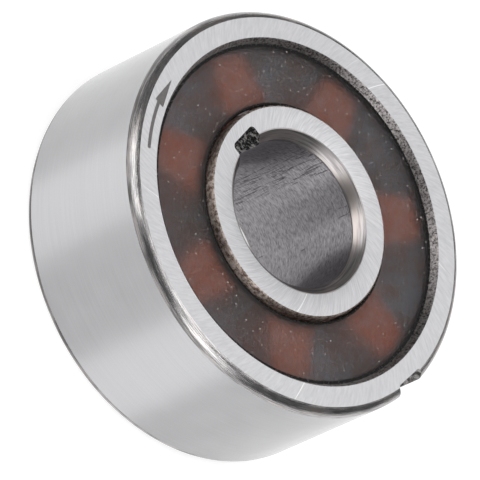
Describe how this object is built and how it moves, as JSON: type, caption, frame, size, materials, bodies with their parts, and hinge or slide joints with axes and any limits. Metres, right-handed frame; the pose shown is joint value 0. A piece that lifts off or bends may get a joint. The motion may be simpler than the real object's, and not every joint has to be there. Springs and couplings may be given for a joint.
{
  "type": "sprag clutch",
  "caption": "Keyed one-way ball bearing: two steel rings, a row of balls and tilting sprags in a crown cage with garter springs, and a snap-in shield on each side.",
  "frame": {"origin": "on the bore axis, in the plane of the back faces of both rings, where the bearing lies flat", "axes": "+Z along the bore axis towards the faces that carry the arrow; +Y through the middle of the outer ring's keyway"},
  "size_m": [0.022, 0.022, 0.009],
  "materials": {
    "ring_steel": "ground hardened bearing steel, edges tumbled",
    "ball_steel": "lapped and polished bearing steel",
    "sprag_steel": "drawn and hardened steel",
    "spring_steel": "bright drawn spring wire",
    "cage_plastic": "moulded natural polyamide-imide, amber brown",
    "shield_plastic": "thin see-through brown film plastic, matt"
  },
  "bodies": {
    "outer": {"outer_ring": "ring_steel", "front_shield": "shield_plastic", "back_shield": "shield_plastic"},
    "inner": {"inner_ring": "ring_steel"},
    "cage": {"cage": "cage_plastic", "garter_spring_front": "spring_steel", "garter_spring_back": "spring_steel"},
    "ball_1": {"ball_1": "ball_steel"},
    "ball_2": {"ball_2": "ball_steel"},
    "ball_3": {"ball_3": "ball_steel"},
    "ball_4": {"ball_4": "ball_steel"},
    "ball_5": {"ball_5": "ball_steel"},
    "ball_6": {"ball_6": "ball_steel"},
    "ball_7": {"ball_7": "ball_steel"},
    "sprag_1": {"sprag_1": "sprag_steel"},
    "sprag_2": {"sprag_2": "sprag_steel"},
    "sprag_3": {"sprag_3": "sprag_steel"},
    "sprag_4": {"sprag_4": "sprag_steel"},
    "sprag_5": {"sprag_5": "sprag_steel"},
    "sprag_6": {"sprag_6": "sprag_steel"},
    "sprag_7": {"sprag_7": "sprag_steel"}
  },
  "joints": [
    {"name": "inner_spin", "type": "hinge", "parent": "outer", "child": "inner", "pos_m": [0, 0, 0], "axis": [0, 0, 1], "continuous": true},
    {"name": "cage_spin", "type": "hinge", "parent": "outer", "child": "cage", "pos_m": [0, 0, 0], "axis": [0, 0, 1], "continuous": true},
    {"name": "ball_1_spin", "type": "hinge", "parent": "cage", "child": "ball_1", "pos_m": [0.00701, 0.00268, 0.0045], "axis": [0, 0, 1], "continuous": true},
    {"name": "ball_2_spin", "type": "hinge", "parent": "cage", "child": "ball_2", "pos_m": [0.00227, 0.00715, 0.0045], "axis": [0, 0, 1], "continuous": true},
    {"name": "ball_3_spin", "type": "hinge", "parent": "cage", "child": "ball_3", "pos_m": [-0.00417, 0.00623, 0.0045], "axis": [0, 0, 1], "continuous": true},
    {"name": "ball_4_spin", "type": "hinge", "parent": "cage", "child": "ball_4", "pos_m": [-0.00747, 0.00063, 0.0045], "axis": [0, 0, 1], "continuous": true},
    {"name": "ball_5_spin", "type": "hinge", "parent": "cage", "child": "ball_5", "pos_m": [-0.00515, -0.00545, 0.0045], "axis": [0, 0, 1], "continuous": true},
    {"name": "ball_6_spin", "type": "hinge", "parent": "cage", "child": "ball_6", "pos_m": [0.00105, -0.00743, 0.0045], "axis": [0, 0, 1], "continuous": true},
    {"name": "ball_7_spin", "type": "hinge", "parent": "cage", "child": "ball_7", "pos_m": [0.00646, -0.00381, 0.0045], "axis": [0, 0, 1], "continuous": true},
    {"name": "sprag_1_tilt", "type": "hinge", "parent": "cage", "child": "sprag_1", "pos_m": [0.00744, -0.00062, 0.00453], "axis": [0, 0, 1], "range_deg": [-7, 0], "stiffness_Nm_per_rad": 0.0001},
    {"name": "sprag_2_tilt", "type": "hinge", "parent": "cage", "child": "sprag_2", "pos_m": [0.00513, 0.00543, 0.00453], "axis": [0, 0, 1], "range_deg": [-7, 0], "stiffness_Nm_per_rad": 0.0001},
    {"name": "sprag_3_tilt", "type": "hinge", "parent": "cage", "child": "sprag_3", "pos_m": [-0.00105, 0.00739, 0.00453], "axis": [0, 0, 1], "range_deg": [-7, 0], "stiffness_Nm_per_rad": 0.0001},
    {"name": "sprag_4_tilt", "type": "hinge", "parent": "cage", "child": "sprag_4", "pos_m": [-0.00643, 0.00379, 0.00453], "axis": [0, 0, 1], "range_deg": [-7, 0], "stiffness_Nm_per_rad": 0.0001},
    {"name": "sprag_5_tilt", "type": "hinge", "parent": "cage", "child": "sprag_5", "pos_m": [-0.00697, -0.00266, 0.00453], "axis": [0, 0, 1], "range_deg": [-7, 0], "stiffness_Nm_per_rad": 0.0001},
    {"name": "sprag_6_tilt", "type": "hinge", "parent": "cage", "child": "sprag_6", "pos_m": [-0.00226, -0.00711, 0.00453], "axis": [0, 0, 1], "range_deg": [-7, 0], "stiffness_Nm_per_rad": 0.0001},
    {"name": "sprag_7_tilt", "type": "hinge", "parent": "cage", "child": "sprag_7", "pos_m": [0.00415, -0.00621, 0.00453], "axis": [0, 0, 1], "range_deg": [-7, 0], "stiffness_Nm_per_rad": 0.0001}
  ],
  "couplings": [
    {"joint": "cage_spin", "follows": "inner_spin", "ratio": 0.3677},
    {"joint": "ball_1_spin", "follows": "inner_spin", "ratio": -1.7573},
    {"joint": "ball_2_spin", "follows": "inner_spin", "ratio": -1.7573},
    {"joint": "ball_3_spin", "follows": "inner_spin", "ratio": -1.7573},
    {"joint": "ball_4_spin", "follows": "inner_spin", "ratio": -1.7573},
    {"joint": "ball_5_spin", "follows": "inner_spin", "ratio": -1.7573},
    {"joint": "ball_6_spin", "follows": "inner_spin", "ratio": -1.7573},
    {"joint": "ball_7_spin", "follows": "inner_spin", "ratio": -1.7573},
    {"joint": "sprag_2_tilt", "follows": "sprag_1_tilt", "ratio": 1},
    {"joint": "sprag_3_tilt", "follows": "sprag_1_tilt", "ratio": 1},
    {"joint": "sprag_4_tilt", "follows": "sprag_1_tilt", "ratio": 1},
    {"joint": "sprag_5_tilt", "follows": "sprag_1_tilt", "ratio": 1},
    {"joint": "sprag_6_tilt", "follows": "sprag_1_tilt", "ratio": 1},
    {"joint": "sprag_7_tilt", "follows": "sprag_1_tilt", "ratio": 1}
  ]
}
